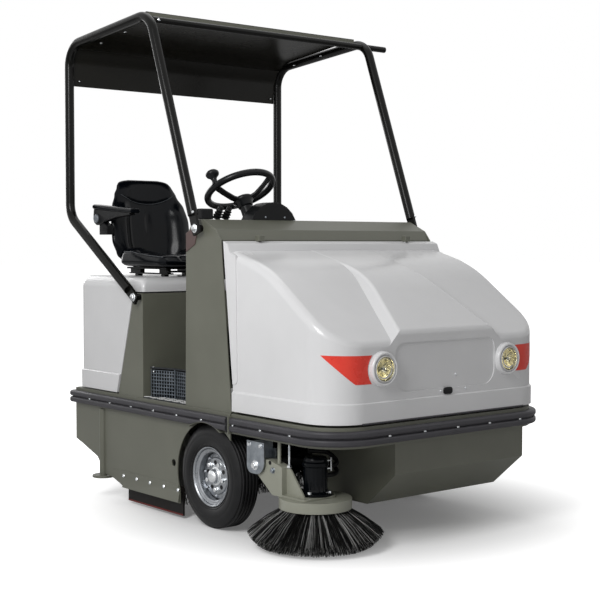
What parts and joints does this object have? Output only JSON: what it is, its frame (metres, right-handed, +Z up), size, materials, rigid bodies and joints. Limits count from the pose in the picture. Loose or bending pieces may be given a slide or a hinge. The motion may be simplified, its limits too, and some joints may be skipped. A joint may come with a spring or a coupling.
{
  "type": "compact ride-on road sweeper",
  "caption": "Compact ride-on road sweeper with a front hopper under a sloping hood, a side brush, a steered rear wheel and a driver seat under a tube-framed roof.",
  "frame": {"origin": "on the floor midway between the two front wheels", "axes": "+Z up, -Y is the driving direction, +X is the left side of the machine"},
  "size_m": [1.4562, 1.8776, 2.1313],
  "materials": {
    "frame_paint": "satin grey-green powder coat",
    "cover_white": "pale grey moulded cover",
    "black_paint": "gloss black tube",
    "roof_paint": "black roof sheet",
    "rubber": "dark grey moulded rubber",
    "tyre": "matt black tyre",
    "rim": "silver pressed steel",
    "dark_steel": "dark painted steel",
    "zinc": "zinc plated plate",
    "tread": "chequer plate",
    "bristle": "black bristle",
    "seat_vinyl": "moulded black vinyl",
    "black_plastic": "black moulded plastic",
    "motor": "black motor",
    "lamp": "lamp with a gold reflector"
  },
  "bodies": {
    "chassis": {"side_plate_right": "frame_paint", "side_plate_left": "frame_paint", "rear_plate": "frame_paint", "chassis_deck": "frame_paint", "tread_floor": "tread", "front_axle": "dark_steel", "brush_tunnel": "frame_paint", "skirt_flaps": "rubber", "foot_posts": "frame_paint", "console_pillars": "frame_paint", "console_bar": "frame_paint", "seat_box_wall": "frame_paint", "engine": "dark_steel", "steering_column": "black_plastic", "dash_pod": "black_plastic", "footwell_guard": "rim", "foot_pedal": "dark_steel", "hand_controls": "black_plastic", "cage_right": "black_paint", "cage_left": "black_paint", "canopy_bars": "black_paint", "canopy_sheet": "roof_paint", "rear_bumper": "rubber", "brush_carrier": "zinc"},
    "front_wheel_right": {"front_right_tyre": "tyre", "front_right_rim": "rim"},
    "front_wheel_left": {"front_left_tyre": "tyre", "front_left_rim": "rim"},
    "steer_fork": {"rear_fork": "dark_steel"},
    "rear_wheel": {"rear_tyre": "tyre", "rear_rim": "rim"},
    "steering": {"steering_wheel": "black_plastic"},
    "sweep_roller": {"main_brush": "bristle"},
    "lift": {"lift_arms": "dark_steel"},
    "hopper": {"hopper_frame": "frame_paint", "hood_carrier": "frame_paint", "front_bumper": "rubber", "hopper_box": "frame_paint"},
    "hood": {"hood_shell": "cover_white", "head_lamps": "lamp"},
    "side_arm": {"brush_arm": "frame_paint", "brush_motor": "motor", "brush_cap": "frame_paint"},
    "side_brush": {"side_bristles": "bristle"},
    "cover": {"rear_cover": "cover_white", "seat_base": "dark_steel", "seat_cushion": "seat_vinyl", "seat_back": "seat_vinyl", "armrest": "black_plastic"}
  },
  "joints": [
    {"name": "front_right_spin", "type": "hinge", "parent": "chassis", "child": "front_wheel_right", "pos_m": [-0.532, 0, 0.21], "axis": [1, 0, 0], "continuous": true},
    {"name": "front_left_spin", "type": "hinge", "parent": "chassis", "child": "front_wheel_left", "pos_m": [0.532, 0, 0.21], "axis": [1, 0, 0], "continuous": true},
    {"name": "rear_steer", "type": "hinge", "parent": "chassis", "child": "steer_fork", "pos_m": [0, 0.83, 0.46], "axis": [0, 0, 1], "range_deg": [-70, 70]},
    {"name": "rear_spin", "type": "hinge", "parent": "steer_fork", "child": "rear_wheel", "pos_m": [0, 0.83, 0.21], "axis": [1, 0, 0], "continuous": true},
    {"name": "steering_turn", "type": "hinge", "parent": "chassis", "child": "steering", "pos_m": [-0.285, 0.19, 1.378], "axis": [0, 0.4848, 0.8746], "range_deg": [-430, 430]},
    {"name": "main_brush_spin", "type": "hinge", "parent": "chassis", "child": "sweep_roller", "pos_m": [0, 0.43, 0.15], "axis": [1, 0, 0], "continuous": true},
    {"name": "hopper_lift", "type": "hinge", "parent": "chassis", "child": "lift", "pos_m": [0, 0.06, 1.05], "axis": [-1, 0, 0], "range_deg": [0, 50]},
    {"name": "hopper_tip", "type": "hinge", "parent": "lift", "child": "hopper", "pos_m": [0, -0.2, 0.44], "axis": [1, 0, 0], "range_deg": [0, 85]},
    {"name": "hood_open", "type": "hinge", "parent": "hopper", "child": "hood", "pos_m": [0, -0.1, 1.173], "axis": [-1, 0, 0], "range_deg": [0, 60]},
    {"name": "side_arm_lift", "type": "hinge", "parent": "chassis", "child": "side_arm", "pos_m": [-0.53, -0.282, 0.294], "axis": [-1, 0, 0], "range_deg": [0, 10]},
    {"name": "side_brush_spin", "type": "hinge", "parent": "side_arm", "child": "side_brush", "pos_m": [-0.448, -0.503, 0.17], "axis": [0, 0, 1], "continuous": true},
    {"name": "rear_cover_open", "type": "hinge", "parent": "chassis", "child": "cover", "pos_m": [0, 1.064, 0.498], "axis": [-1, 0, 0], "range_deg": [0, 55]}
  ],
  "couplings": [
    {"joint": "steering_turn", "follows": "rear_steer", "ratio": -6},
    {"joint": "hopper_tip", "follows": "hopper_lift", "ratio": 1.7}
  ]
}
